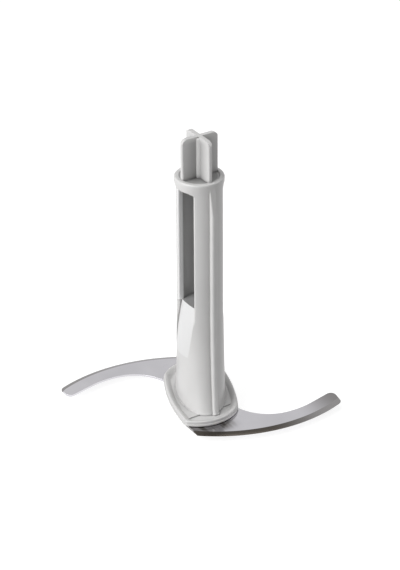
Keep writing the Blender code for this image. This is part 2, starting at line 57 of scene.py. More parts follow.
# Base cap
CAP_RADIUS = 0.0134
CAP_HEIGHT = PLATE_BOTTOM - SEAT_GAP
CAP_EDGE = 0.0008
SPIGOT_RADIUS = 0.0066
SPIGOT_TOP = CAP_HIGH.z
SPIGOT_LEAD_IN = 0.0008
PIN_BORE_RADIUS = 0.0042
PIN_BORE_DEPTH = 0.0265
PIN_BORE_LEAD_IN = 0.0007
REST_RING_INNER_RADIUS = 0.0086
REST_RING_DEPTH = 0.0010
PEG_POCKET_DEPTH = 0.0022
PEG_RADIUS = 0.0016
PEG_CIRCLE = 0.0102
PEG_LEAD_IN = 0.0003

# Steel blade
CUT_CREST = Vector((-0.0305, PLATE_HIGH.y))
CUT_RADIUS = 0.0834
CUT_CENTRE = CUT_CREST - Vector((0.0, CUT_RADIUS))
GRIND_WIDTH = 0.0031
EDGE_THICKNESS = 0.00015
HEEL_REACH = 0.0230
TIP_REACH = PLATE_HIGH.x
TIP_NOSE_RADIUS = 0.0045
TIP_BACK_RADIUS = 0.0028
TIP_WIDTH = 0.0104
BACK_RADIUS = 0.0446
ROOT_CENTRE = Vector((-0.0323, 0.0168))
ROOT_RADIUS = 0.0239
ROOT_JOIN_ANGLE = math.radians(81.8)
ROOT_END_ANGLE = math.radians(-25.0)

# Hub foot
FOOT_END_CENTRE = Vector((0.0074, 0.0082))
FOOT_END_RADIUS = 0.0226
FOOT_SIDE_CENTRE = Vector((-0.0880, 0.0345))
FOOT_SIDE_RADIUS = 0.1129
FOOT_LEADING_CORNER = 0.0026
FOOT_TRAILING_CORNER = 0.0032
FOOT_LEAST_CORNER = 0.0004
LIP_HEIGHT = 0.0009
LIP_STEP = 0.0004
BEAD_HEIGHT = 0.0028
BEAD_WIDTH = 0.0019
BEAD_SLOPE = 0.0040
FLOOR_HEIGHT = 0.0009
DECK_HEIGHT = 0.0015
DECK_HALF_LENGTH = 0.0197

# Hub body and ribs
SIDE_COUNT = 2
SHAFT_RADIUS = 0.0125
FLARE_LENGTH = 0.0580
FLARE_POWER = 2.0
BASE_LONG_RADIUS = 0.0242
BASE_SHORT_RADIUS = 0.0130
BASE_TURN = math.radians(66.5)
BASE_FILLET = 0.0003
RIB_WIDTH = 0.0036
RIB_HEIGHT = 0.0025
RIB_EDGE = 0.0016
RIB_BASE_SHIFT = Vector((0.0053, 0.0095))
RIB_RUN_OUT = 0.0172
RIB_FLUSH = 0.00015

# Windows and hollow
WALL_THICKNESS = 0.0036
WINDOW_HALF_WIDTH = 0.0073
WINDOW_CORNER = 0.0015
WINDOW_EDGE = 0.0012
WINDOW_EDGE_LEAST = 0.00005
WINDOW_EDGE_SHARE = 0.7
WINDOW_EDGE_STOP = math.radians(20)
SILL_HEIGHT = 0.0574
SCOOP_LENGTH = 0.0276
SILL_REACH = 0.0064
SILL_BULGE = 0.0008
SILL_THICKNESS = 0.0025
SCOOP_ENTRY = 0.42
SCOOP_POWER = 2.6
SCOOP_OVERCUT = 1.005
CORE_TOP_RADIUS = 0.0038

# Collar and drive cross
FIN_COUNT = 4
COLLAR_RADIUS = 0.0131
COLLAR_HEIGHT = 0.0059
COLLAR_EDGE = 0.0008
COLLAR_TAPER = 0.0030
RECESS_RADIUS = 0.0101
RECESS_DEPTH = 0.0006
FIN_REACH = 0.0110
FIN_THICKNESS = 0.00235
FIN_HEIGHT = 0.0230
FIN_SHOULDER = 0.0032
FIN_EDGE = 0.0009
POST_RADIUS = 0.0028
POST_DROP = 0.0006
POST_EDGE = 0.0009

# Fineness of the round faces
ARC_STEPS = 56
CORNER_STEPS = 8
EDGE_STEPS = 6
FLARE_STEPS = 36
SCOOP_STEPS = 30
CORE_STEPS = 6
TURN_STEPS = 128
TURN_PHASE = 0.5
TANGENT_STEP = 0.001
SMOOTH_ANGLE = math.radians(28)

# Tools reach past the faces they cut or join by this much, and clear them by this much
OVERRUN = 0.0008
CLEAR = 0.0001

FLOOR_LEVEL = HUB_BOTTOM + FLOOR_HEIGHT
DECK_LEVEL = HUB_BOTTOM + DECK_HEIGHT
FLARE_TOP = DECK_LEVEL + FLARE_LENGTH
RECESS_LEVEL = FIN_TOP - FIN_HEIGHT
RIM_LEVEL = RECESS_LEVEL + RECESS_DEPTH
COLLAR_LEVEL = RIM_LEVEL - COLLAR_HEIGHT
RIB_TOP = RIM_LEVEL - COLLAR_EDGE
WINDOW_TOP = COLLAR_LEVEL - 2 * CLEAR
WINDOW_TOOL_REACH = 2 * SHAFT_RADIUS
SILL_LEVEL = HUB_BOTTOM + SILL_HEIGHT
SCOOP_LEVEL = SILL_LEVEL - SCOOP_LENGTH
SOCKET_TOP = SPIGOT_TOP + SEAT_GAP
BORE_RADIUS = SHAFT_RADIUS - WALL_THICKNESS
WINDOW_TOOL_BACK = BORE_RADIUS / 4
SOCKET_RADIUS = SPIGOT_RADIUS + SEAT_GAP
PEG_HOLE_RADIUS = PEG_RADIUS + SEAT_GAP

# Camera, fitted to the photo: degrees and metres, and millimetres for the sensor and the lens
CAMERA_AZIMUTH = -32.5
CAMERA_PITCH = 29.2
CAMERA_ROLL = -0.34
CAMERA_PLACE = Vector((-0.6051, -0.9499, 0.7023))
CAMERA_SENSOR = 36.0
CAMERA_LENS = 154.7

# Studio: sizes and places in metres, lamps in watts, brightness of the floor and the sky
FLOOR_SIZE = 6.0
FLOOR_PAPER = 0.40
FLOOR_GLOW = 0.80
WORLD_LEVEL = 0.11
KEY_PLACE = Vector((-0.90, -0.02, 0.52))
KEY_SIZE = 1.0
KEY_POWER = 13.0
FILL_PLACE = Vector((0.70, -0.54, 0.70))
FILL_SIZE = 1.0
FILL_POWER = 4.1
TOP_PLACE = Vector((-0.1, 0.3, 1.3))
TOP_SIZE = 1.4
TOP_POWER = 6.0
LAMP_AIM = 0.06

# Moulded plastic: its grey and roughness, then the noises that vary them and bend the surface
HUB_GREY = 0.575
HUB_ROUGHNESS = 0.36
CAP_GREY = 0.50
CAP_ROUGHNESS = 0.44
PLASTIC_WARMTH = 0.008
PLASTIC_IOR = 1.49
PLASTIC_EDGE = 0.00045
PLASTIC_BUMP = 0.35
PLASTIC_BUMP_DEPTH = 0.00004
CLOUD_SCALE = 55.0
CLOUD_DETAIL = 3.0
CLOUD_SHADE = 0.955
CLOUD_LOW = 0.25
CLOUD_HIGH = 0.75
SKIN_SCALE = 900.0
SKIN_SHARE = 0.7
PORE_SCALE = 3200.0
SATIN_SPREAD = 0.03

# Painted shade in inner corners and deep hollows: its reach, the openness it starts and ends at, its tint
CORNER_PAINTED_SHADE = (0.0026, 0.30, 0.88, 0.42)
HOLLOW_PAINTED_SHADE = (0.014, 0.10, 0.45, 0.60)

# Painted light and shade on places of the hub, which help the light of the studio, and how softly they end
SCOOP_PAINTED_LIGHT = 0.62
SCOOP_FADE = 0.9
JAMB_PAINTED_LIGHT = 0.86
INNER_PAINTED_SHADE = 0.45
INNER_FADE = 0.0008
CROSS_PAINTED_SHADE = 0.66
RECESS_PAINTED_SHADE = 0.60
RECESS_FADE = 0.0009

# Steel: the colours of its faces and bevels. The bevels are darkened by painted reflection, and only the
# front arm has
# painted reflections: a dark end, the dark image of the foot and the darkest bevel
STEEL_DARKER = (0.60, 0.59, 0.62, 1.0)
STEEL_LIGHTER = (0.655, 0.645, 0.675, 1.0)
STEEL_PAINTED_END_REFLECTION = (0.27, 0.26, 0.26, 1.0)
STEEL_PAINTED_FOOT_REFLECTION = (0.12, 0.11, 0.10, 1.0)
BEVEL_BACK_PAINTED_REFLECTION = (0.40, 0.39, 0.40, 1.0)
BEVEL_FRONT_PAINTED_REFLECTION = (0.085, 0.075, 0.065, 1.0)
BEVEL_TIP = (0.32, 0.31, 0.31, 1.0)

# Where those colours start and end, outwards from the axis, outwards from the foot and along x
END_REFLECTION_START = 0.033
END_REFLECTION_END = 0.060
BEVEL_TIP_START = 0.012
BEVEL_TIP_END = 0.050
BEVEL_BLUR = 0.0001
MIRROR_START = 0.002
MIRROR_END = 0.010
MIRROR_SIDE_START = -0.006
MIRROR_SIDE_END = 0.004

# Steel: its roughness and the noises that vary it and bend the surface, stretched along each axis
FLAT_ROUGHNESS = 0.09
BEVEL_ROUGHNESS = 0.20
GRAIN_ROUGHNESS = 0.04
HAZE_ROUGHNESS = 0.03
LINE_ROUGHNESS = 0.06
STEEL_NOISE_ROUGHNESS = 0.6
GRAIN_STRETCH = (90.0, 3600.0, 400.0)
GRAIN_DETAIL = 4.0
GRAIN_HEIGHT = 0.3
HAZE_SCALE = 38.0
HAZE_DETAIL = 3.0
LINES_ALONG = 9000.0
LINES_ACROSS = 60.0
LINES_BETWEEN_ARMS = 7.0
# Streaks that break the painted reflection of the foot into stripes
STREAK_DETAIL = 1.0
STREAK_STRETCH = (420.0, 40.0, 40.0)
STREAK_LOW = 0.35
STREAK_HIGH = 0.6
STREAK_GAP = 0.55
STEEL_EDGE = 0.0001
STEEL_BUMP = 0.15
STEEL_BUMP_DEPTH = 0.00002

# The middle of a noise, over which most of its change lies, and how finely edges and painted shade are
# sampled
NOISE_LOW = 0.3
NOISE_HIGH = 0.7
NEAR_SAMPLES = 8

# Where a Mix node has its share, its two colours and the mixed colour
MIX_SHARE, MIX_FIRST, MIX_SECOND, MIX_RESULT = 0, 6, 7, 2


# Plane outlines

def on_circle(centre, radius, angle):
    """The point of a circle at an angle in radians."""
    return Vector((centre.x + radius * math.cos(angle), centre.y + radius * math.sin(angle)))


def arc(centre, radius, start, end, steps):
    """Points along a circle between two angles in radians, both ends included."""
    return [on_circle(centre, radius, start + (end - start) * i / steps) for i in range(steps + 1)]


def bearing(centre, point):
    """The angle at which a point is seen from a centre."""
    return math.atan2(point.y - centre.y, point.x - centre.x)


def circles_meet(centre_a, radius_a, centre_b, radius_b, near):
    """The crossing of two circles that lies nearer to a given point."""
    across = centre_b - centre_a
    gap = across.length
    along = (gap ** 2 + radius_a ** 2 - radius_b ** 2) / (2 * gap)
    half_chord = math.sqrt(radius_a ** 2 - along ** 2)
    middle = centre_a + across * (along / gap)
    side = Vector((-across.y, across.x)) * (half_chord / gap)
    return min((middle + side, middle - side), key=lambda point: (point - near).length)


def half_turn(points):
    """The same points after half a turn about the axis."""
    return [-point for point in points]


def foot_outline(inset):
    """The foot seen from above, moved inwards by an inset that keeps its arcs concentric."""
    end_radius = FOOT_END_RADIUS - inset
    side_radius = FOOT_SIDE_RADIUS - inset
    leading = max(FOOT_LEAST_CORNER, FOOT_LEADING_CORNER - inset)
    trailing = max(FOOT_LEAST_CORNER, FOOT_TRAILING_CORNER - inset)
    right = FOOT_SIDE_CENTRE
    left = -FOOT_SIDE_CENTRE
    ahead = FOOT_END_CENTRE + Vector((FOOT_END_RADIUS, FOOT_END_RADIUS))
    behind = FOOT_END_CENTRE + Vector((-FOOT_END_RADIUS, FOOT_END_RADIUS))
    leading_centre = circles_meet(right, side_radius - leading,
                                  FOOT_END_CENTRE, end_radius - leading, ahead)
    trailing_centre = circles_meet(left, side_radius - trailing,
                                   FOOT_END_CENTRE, end_radius - trailing, behind)
    end_start = bearing(FOOT_END_CENTRE, leading_centre)
    end_finish = bearing(FOOT_END_CENTRE, trailing_centre)
    side_start = bearing(left, trailing_centre)
    side_finish = bearing(left, -leading_centre)
    if side_finish < side_start:
        side_finish += 2 * math.pi
    points = arc(leading_centre, leading, bearing(right, leading_centre), end_start, CORNER_STEPS)
    points += arc(FOOT_END_CENTRE, end_radius, end_start, end_finish, ARC_STEPS)[1:-1]
    points += arc(trailing_centre, trailing, end_finish, side_start, CORNER_STEPS)
    points += arc(left, side_radius, side_start, side_finish, ARC_STEPS)[1:-1]
    return points + half_turn(points)


def blade_outline(cut_radius):
    """One arm of the blade from its heel round the tip to its root, then the other arm."""
    heel_rise = math.sqrt(cut_radius ** 2 - (HEEL_REACH - CUT_CENTRE.x) ** 2)
    heel = Vector((HEEL_REACH, CUT_CENTRE.y + heel_rise))
    nose_x = TIP_NOSE_RADIUS - TIP_REACH
    nose_rise = math.sqrt((cut_radius - TIP_NOSE_RADIUS) ** 2 - (nose_x - CUT_CENTRE.x) ** 2)
    nose_centre = Vector((nose_x, CUT_CENTRE.y + nose_rise))
    tip_rise = math.sqrt(CUT_RADIUS ** 2 - (TIP_REACH + CUT_CENTRE.x) ** 2)
    corner = Vector((-TIP_REACH, CUT_CENTRE.y + tip_rise - TIP_WIDTH))
    back_centre = on_circle(ROOT_CENTRE, ROOT_RADIUS - BACK_RADIUS, ROOT_JOIN_ANGLE)
    back_end = bearing(back_centre, corner) - math.acos(BACK_RADIUS / (corner - back_centre).length)
    back_corner_centre = corner + Vector((TIP_BACK_RADIUS, TIP_BACK_RADIUS * math.tan(back_end / 2)))
    points = [heel]
    nose_start = bearing(CUT_CENTRE, nose_centre)
    points += arc(CUT_CENTRE, cut_radius, bearing(CUT_CENTRE, heel), nose_start, ARC_STEPS)[1:]
    points += arc(nose_centre, TIP_NOSE_RADIUS, nose_start, math.pi, CORNER_STEPS)[1:]
    points += arc(back_corner_centre, TIP_BACK_RADIUS, math.pi, math.pi + back_end, EDGE_STEPS)
    points += arc(back_centre, BACK_RADIUS, back_end, ROOT_JOIN_ANGLE, ARC_STEPS // 2)
    root = arc(ROOT_CENTRE, ROOT_RADIUS, ROOT_JOIN_ANGLE, ROOT_END_ANGLE, ARC_STEPS)[1:]
    run = (HEEL_REACH + root[-1].x) / math.sin(ROOT_END_ANGLE)
    root_corner = root[-1] + Vector((-math.sin(ROOT_END_ANGLE), math.cos(ROOT_END_ANGLE))) * run
    points += root + [root_corner]
    return points + half_turn(points)


def ellipse_crossing(long_radius, short_radius, axis, value, side):
    """The ellipse parameter where x (axis 0) or y (axis 1) takes a value, on one side of it."""
    if axis == 0:
        even = long_radius * math.cos(BASE_TURN)
        odd = -short_radius * math.sin(BASE_TURN)
    else:
        even = long_radius * math.sin(BASE_TURN)
        odd = short_radius * math.cos(BASE_TURN)
    return math.atan2(odd, even) + side * math.acos(value / math.hypot(even, odd))


def ellipse_point(long_radius, short_radius, parameter):
    """A point on the turned ellipse that the flare ends in."""
    along = long_radius * math.cos(parameter)
    across = short_radius * math.sin(parameter)
    cosine, sine = math.cos(BASE_TURN), math.sin(BASE_TURN)
    return Vector((along * cosine - across * sine, along * sine + across * cosine))


def flare_at(level):
    """How far the flare has grown at a level: 0 on the shaft, 1 on the deck of the foot."""
    return max(0.0, min(1.0, (FLARE_TOP - level) / FLARE_LENGTH)) ** FLARE_POWER


def body_radii(level, swell=0.0):
    """Long and short half axes of the body at a level."""
    flare = flare_at(level)
    long_radius = SHAFT_RADIUS + (BASE_LONG_RADIUS - SHAFT_RADIUS) * flare + swell
    short_radius = SHAFT_RADIUS + (BASE_SHORT_RADIUS - SHAFT_RADIUS) * flare + swell
    return long_radius, short_radius


def rib_height_at(level):
    """Height of the ribs above the wall, which runs out under the rim of the collar."""
    return RIB_FLUSH + (RIB_HEIGHT - RIB_FLUSH) * max(0.0, min(1.0, (RIB_TOP - level) / RIB_RUN_OUT))


def body_outline(level, swell=0.0):
    """The body and its ribs cut at a level, grown sideways by a swell for the fillet at the foot."""
    long_radius, short_radius = body_radii(level, swell)
    shift = RIB_BASE_SHIFT * flare_at(level)
    half_width = RIB_WIDTH / 2 + swell
    crest = shift.y + SHAFT_RADIUS + rib_height_at(level) + swell
    first = ellipse_crossing(long_radius, short_radius, 0, shift.x + half_width, 1)
    last = ellipse_crossing(long_radius, short_radius, 0, half_width - shift.x, -1)
    side = [ellipse_point(long_radius, short_radius, first + (last - first) * i / ARC_STEPS)
            for i in range(ARC_STEPS + 1)]
    edge = min(RIB_EDGE, rib_height_at(level) / 2)
    right = Vector((shift.x + half_width - edge, crest - edge))
    left = Vector((shift.x - half_width + edge, crest - edge))
    rib = arc(left, edge, math.pi, math.pi / 2, EDGE_STEPS) + arc(right, edge, math.pi / 2, 0.0, EDGE_STEPS)
    points = rib + side
    return list(reversed(points + half_turn(points)))


def wall_reach(offset, level):
    """How far out the outer wall lies, at a sideways offset and a level."""
    long_radius, short_radius = body_radii(level)
    taper = max(0.0, level - COLLAR_LEVEL) / COLLAR_TAPER * (COLLAR_RADIUS - SHAFT_RADIUS)
    return ellipse_point(long_radius, short_radius,
                         ellipse_crossing(long_radius, short_radius, 1, offset, -1)).x + taper


def scoop_reach(offset, level):
    """How far out the scoop's surface lies, at a sideways offset and a level."""
    outer = wall_reach(offset, level) * SCOOP_OVERCUT
    rise = (level - SCOOP_LEVEL) / SCOOP_LENGTH
    depth = SCOOP_ENTRY * rise + (1 - SCOOP_ENTRY) * rise ** SCOOP_POWER
    sill = SILL_REACH + SILL_BULGE * (1 - (offset / WINDOW_HALF_WIDTH) ** 2)
    return sill + (outer - sill) * (1 - depth)


def hollow_reach(offset, level):
    """The inner face of the window tool above the sill, inside the hollow of the shaft."""
    return WINDOW_TOOL_BACK


def brow_reach(offset, level):
    """The inner face of the window tool over the opening, which rounds the window's top edge."""
    drop = max(0.0, WINDOW_TOP + CLEAR + WINDOW_EDGE - level)
    rounding = math.sqrt(max(0.0, WINDOW_EDGE ** 2 - drop ** 2))
    return wall_reach(offset, level) + CLEAR / 2 - WINDOW_EDGE + rounding


def window_jamb(level, half_width, inner, side):
    """The rounded outer edge of a window, from its back out past the wall, smaller in the shallow scoop."""
    long_radius, short_radius = body_radii(level)
    depth = wall_reach(side * half_width, level) - inner
    edge = max(WINDOW_EDGE_LEAST, min(WINDOW_EDGE, WINDOW_EDGE_SHARE * depth))
    offset = side * (half_width + edge)
    parameter = ellipse_crossing(long_radius, short_radius, 1, offset, -1)
    wall = ellipse_point(long_radius, short_radius, parameter)
    ahead = ellipse_point(long_radius, short_radius, parameter + TANGENT_STEP) - wall
    normal = Vector((ahead.y, -ahead.x)).normalized()
    centre = Vector((max(wall.x - edge / normal.x, inner + WINDOW_EDGE_LEAST), offset))
    stop = abs(math.atan2(normal.y, normal.x)) - WINDOW_EDGE_STOP
    nose = [on_circle(centre, edge, side * (-math.pi / 2 + (stop + math.pi / 2) * i / CORNER_STEPS))
            for i in range(CORNER_STEPS + 1)]
    exit_point = nose[-1] + normal * OVERRUN
    return nose + [exit_point, Vector((WINDOW_TOOL_REACH, exit_point.y))]


def window_outline(level, half_width, inner):
    """The window tool cut at a level; inner gives its inner face at a sideways offset and a level."""
    offsets = [half_width * (2 * i / ARC_STEPS - 1) for i in range(ARC_STEPS + 1)]
    back = [Vector((inner(offset, level), offset)) for offset in offsets]
    left = window_jamb(level, half_width, back[-1].x, 1)
    right = window_jamb(level, half_width, back[0].x, -1)
    return back + left + list(reversed(right))


# Mesh tools

def ring_points(outline, level):
    """A plane outline lifted to a level."""
    return [(point.x, point.y, level) for point in outline]


def mesh_from_rings(name, rings):
    """A closed solid lofted through rings of equal length, listed from the bottom up."""
    first = rings[0]
    count = len(first)
    turning = sum(first[i - 1][0] * first[i][1] - first[i][0] * first[i - 1][1] for i in range(count))
    bm = bmesh.new()
    loops = [[bm.verts.new(point) for point in ring] for ring in rings]
    if turning < 0:
        loops = [list(reversed(loop)) for loop in loops]
    for lower, upper in zip(loops, loops[1:]):
        for i in range(count):
            j = (i + 1) % count
            bm.faces.new((lower[i], lower[j], upper[j], upper[i]))
    bm.faces.new(list(reversed(loops[0])))
    bm.faces.new(loops[-1])
    mesh = bpy.data.meshes.new(name)
    bm.to_mesh(mesh)
    bm.free()
    return mesh


def turned_mesh(name, profile, centre=(0.0, 0.0), steps=TURN_STEPS):
    """A closed solid turned about a vertical axis from (radius, level) pairs, from its foot to its top."""
    bm = bmesh.new()
    columns = []
    for radius, level in profile:
        if radius == 0:
            columns.append([bm.verts.new((centre[0], centre[1], level))] * steps)
            continue
        ring = []
        for i in range(steps):
            angle = 2 * math.pi * (i + TURN_PHASE) / steps
            ring.append(bm.verts.new((centre[0] + radius * math.cos(angle),
                                      centre[1] + radius * math.sin(angle), level)))
        columns.append(ring)
    for lower, upper in zip(columns, columns[1:]):
        for i in range(steps):
            j = (i + 1) % steps
            corners = list(dict.fromkeys((lower[i], lower[j], upper[j], upper[i])))
            bm.faces.new(corners)
    mesh = bpy.data.meshes.new(name)
    bm.to_mesh(mesh)
    bm.free()
    return mesh


def rounded_corner(radius, level, edge, start):
    """A quarter round in a turned profile, from a start angle in degrees, turning left."""
    first = math.radians(start)
    centre = Vector((radius, level))
    return [tuple(point) for point in arc(centre, edge, first, first + math.pi / 2, EDGE_STEPS)]


def add_object(name, mesh):
    """Links a mesh to the scene as an object."""
    item = bpy.data.objects.new(name, mesh)
    bpy.context.scene.collection.objects.link(item)
    return item


def peg_places():
    """Centres of the two pegs."""
    return (0.0, PEG_CIRCLE), (0.0, -PEG_CIRCLE)


# Solids of the hub, which the node tree below joins and cuts

def body_mesh():
    """The flared body with its ribs, from inside the foot up into the collar."""
    rings = [ring_points(body_outline(DECK_LEVEL, BASE_FILLET), FLOOR_LEVEL - OVERRUN / 2)]
    for i in range(EDGE_STEPS + 1):
        angle = math.pi / 2 * i / EDGE_STEPS
        level = DECK_LEVEL + BASE_FILLET * (1 - math.cos(angle))
        rings.append(ring_points(body_outline(level, BASE_FILLET * (1 - math.sin(angle))), level))
    start = DECK_LEVEL + BASE_FILLET
    for i in range(1, FLARE_STEPS + 1):
        level = start + (FLARE_TOP - start) * i / FLARE_STEPS
        rings.append(ring_points(body_outline(level), level))
    for level in (RIB_TOP - RIB_RUN_OUT, RIB_TOP):
        rings.append(ring_points(body_outline(level), level))
    return mesh_from_rings("body", rings)


def foot_mesh():
    """The foot plate: a lip on the blade, a side wall and a bead that slopes down to a sunken floor."""
    lip_top = HUB_BOTTOM + LIP_HEIGHT
    bead_half = (BEAD_WIDTH - LIP_STEP) / 2
    shoulder = HUB_BOTTOM + BEAD_HEIGHT - bead_half
    rings = [ring_points(foot_outline(0.0), HUB_BOTTOM),
             ring_points(foot_outline(0.0), lip_top),
             ring_points(foot_outline(LIP_STEP), lip_top + LIP_STEP / 2)]
    for i in range(EDGE_STEPS + 1):
        angle = math.pi / 2 * i / EDGE_STEPS
        inset = LIP_STEP + bead_half * (1 - math.cos(angle))
        rings.append(ring_points(foot_outline(inset), shoulder + bead_half * math.sin(angle)))
    crest = shoulder + bead_half
    for i in range(1, CORNER_STEPS + 1):
        share = i / CORNER_STEPS
        inset = LIP_STEP + bead_half + BEAD_SLOPE * share
        drop = (crest - FLOOR_LEVEL) * (1 - math.cos(math.pi * share)) / 2
        rings.append(ring_points(foot_outline(inset), crest - drop))
    return mesh_from_rings("foot", rings)


def deck_mesh():
    """The raised middle of the floor, which ends in a crease near each end of the foot."""
    kept = []
    outline = foot_outline(BEAD_WIDTH / 2)
    for point, after in zip(outline, outline[1:] + outline[:1]):
        if abs(point.y) < DECK_HALF_LENGTH:
            kept.append(point)
        if (abs(point.y) - DECK_HALF_LENGTH) * (abs(after.y) - DECK_HALF_LENGTH) < 0:
            end = math.copysign(DECK_HALF_LENGTH, point.y)
            kept.append(point.lerp(after, (end - point.y) / (after.y - point.y)))
    rings = [ring_points(kept, HUB_BOTTOM + OVERRUN / 2), ring_points(kept, DECK_LEVEL)]
    return mesh_from_rings("deck", rings)


def collar_mesh():
    """The collar under the drive cross: a short taper, a round rim and a shallow recess inside it."""
    start = COLLAR_LEVEL - CLEAR
    profile = [(0.0, start), (SHAFT_RADIUS - CLEAR, start), (COLLAR_RADIUS, COLLAR_LEVEL + COLLAR_TAPER)]
    profile += rounded_corner(COLLAR_RADIUS - COLLAR_EDGE, RIM_LEVEL - COLLAR_EDGE, COLLAR_EDGE, 0)
    profile += [(RECESS_RADIUS + RECESS_DEPTH, RIM_LEVEL), (RECESS_RADIUS, RECESS_LEVEL),
                (0.0, RECESS_LEVEL)]
    return turned_mesh("collar", profile)


def fin_mesh():
    """One upright fin with rounded edges, pointing along +X from inside the post."""
    half = FIN_THICKNESS / 2
    reach = FIN_REACH - FIN_EDGE
    outline = [Vector((0.0, half)), Vector((0.0, -half))]
    outline += arc(Vector((reach, -half + FIN_EDGE)), FIN_EDGE, -math.pi / 2, 0.0, EDGE_STEPS)
    outline += arc(Vector((reach, half - FIN_EDGE)), FIN_EDGE, 0.0, math.pi / 2, EDGE_STEPS)
    base = RECESS_LEVEL - OVERRUN / 2
    return mesh_from_rings("fin", [ring_points(outline, base), ring_points(outline, FIN_TOP + OVERRUN)])


def shoulder_mesh():
    """The turned shape that rounds the outer shoulders of the fins."""
    reach = FIN_REACH + OVERRUN
    profile = [(0.0, RECESS_LEVEL - OVERRUN), (reach, RECESS_LEVEL - OVERRUN),
               (reach, FIN_TOP - FIN_SHOULDER)]
    centre = Vector((FIN_REACH - FIN_SHOULDER, FIN_TOP - FIN_SHOULDER))
    profile += [tuple(point) for point in arc(centre, FIN_SHOULDER, 0.0, math.pi / 2, 2 * CORNER_STEPS)]
    profile.append((0.0, FIN_TOP))
    return turned_mesh("shoulder", profile)


def post_mesh():
    """The round post where the fins cross."""
    top = FIN_TOP - POST_DROP
    profile = [(0.0, RECESS_LEVEL - OVERRUN / 4), (POST_RADIUS, RECESS_LEVEL - OVERRUN / 4)]
    profile += rounded_corner(POST_RADIUS - POST_EDGE, top - POST_EDGE, POST_EDGE, 0)
    profile.append((0.0, top))
    return turned_mesh("post", profile, steps=TURN_STEPS // 2)


def window_mesh():
    """The space of one window: the scoop, its sill, the opening above it and the rounded brow over that."""
    levels = [SCOOP_LEVEL + SCOOP_LENGTH * i / SCOOP_STEPS for i in range(SCOOP_STEPS + 1)]
    levels.append(SILL_LEVEL + CLEAR)
    rings = [ring_points(window_outline(level, WINDOW_HALF_WIDTH, scoop_reach), level) for level in levels]
    level = SILL_LEVEL + 2 * CLEAR
    rings.append(ring_points(window_outline(level, WINDOW_HALF_WIDTH, hollow_reach), level))
    for i in range(CORNER_STEPS + 1):
        angle = math.pi / 2 * i / CORNER_STEPS
        level = WINDOW_TOP - WINDOW_CORNER * (1 - math.sin(angle))
        half_width = WINDOW_HALF_WIDTH - WINDOW_CORNER * (1 - math.cos(angle))
        rings.append(ring_points(window_outline(level, half_width, hollow_reach), level))
    for i in range(CORNER_STEPS + 1):
        angle = math.pi / 2 * i / CORNER_STEPS
        level = WINDOW_TOP + CLEAR + WINDOW_EDGE * (1 - math.cos(angle))
        half_width = WINDOW_HALF_WIDTH - WINDOW_CORNER + WINDOW_EDGE * WINDOW_EDGE_SHARE * math.cos(angle)
        rings.append(ring_points(window_outline(level, half_width, brow_reach), level))
    return mesh_from_rings("window", rings)


def bore_mesh():
    """The hollow of the shaft between the sills and the collar."""
    ceiling = COLLAR_LEVEL + SEAT_GAP
    return turned_mesh("bore", [(0.0, SILL_LEVEL), (BORE_RADIUS, SILL_LEVEL), (BORE_RADIUS, ceiling),
                                (0.0, ceiling)])


def core_mesh():
    """The cored space between the two scoops, from the socket up to a closed floor at the sills."""
    low = SOCKET_TOP - OVERRUN
    high = SILL_LEVEL - SILL_THICKNESS
    start = SOCKET_RADIUS - OVERRUN
    sides = TURN_STEPS // 2
    phase = 2 * math.pi * TURN_PHASE / sides
    rings = []
    for i in range(CORE_STEPS + 1):
        share = i / CORE_STEPS
        radius = start + (CORE_TOP_RADIUS - start) * share
        circle = arc(Vector((0.0, 0.0)), radius, phase, phase + 2 * math.pi, sides)[:-1]
        rings.append(ring_points(circle, low + (high - low) * share))
    return mesh_from_rings("core", rings)


def socket_mesh():
    """The socket that the spigot of the base cap fills."""
    low = HUB_BOTTOM - OVERRUN
    return turned_mesh("socket", [(0.0, low), (SOCKET_RADIUS, low), (SOCKET_RADIUS, SOCKET_TOP),
                                  (0.0, SOCKET_TOP)])


def peg_mesh():
    """A peg under the foot, through the blade into the base cap."""
    low = CAP_HEIGHT - PEG_POCKET_DEPTH + SEAT_GAP
    profile = [(0.0, low), (PEG_RADIUS - PEG_LEAD_IN, low), (PEG_RADIUS, low + PEG_LEAD_IN),
               (PEG_RADIUS, HUB_BOTTOM + OVERRUN), (0.0, HUB_BOTTOM + OVERRUN)]
    return turned_mesh("peg", profile, (0.0, PEG_CIRCLE), TURN_STEPS // 4)


# Geometry Nodes

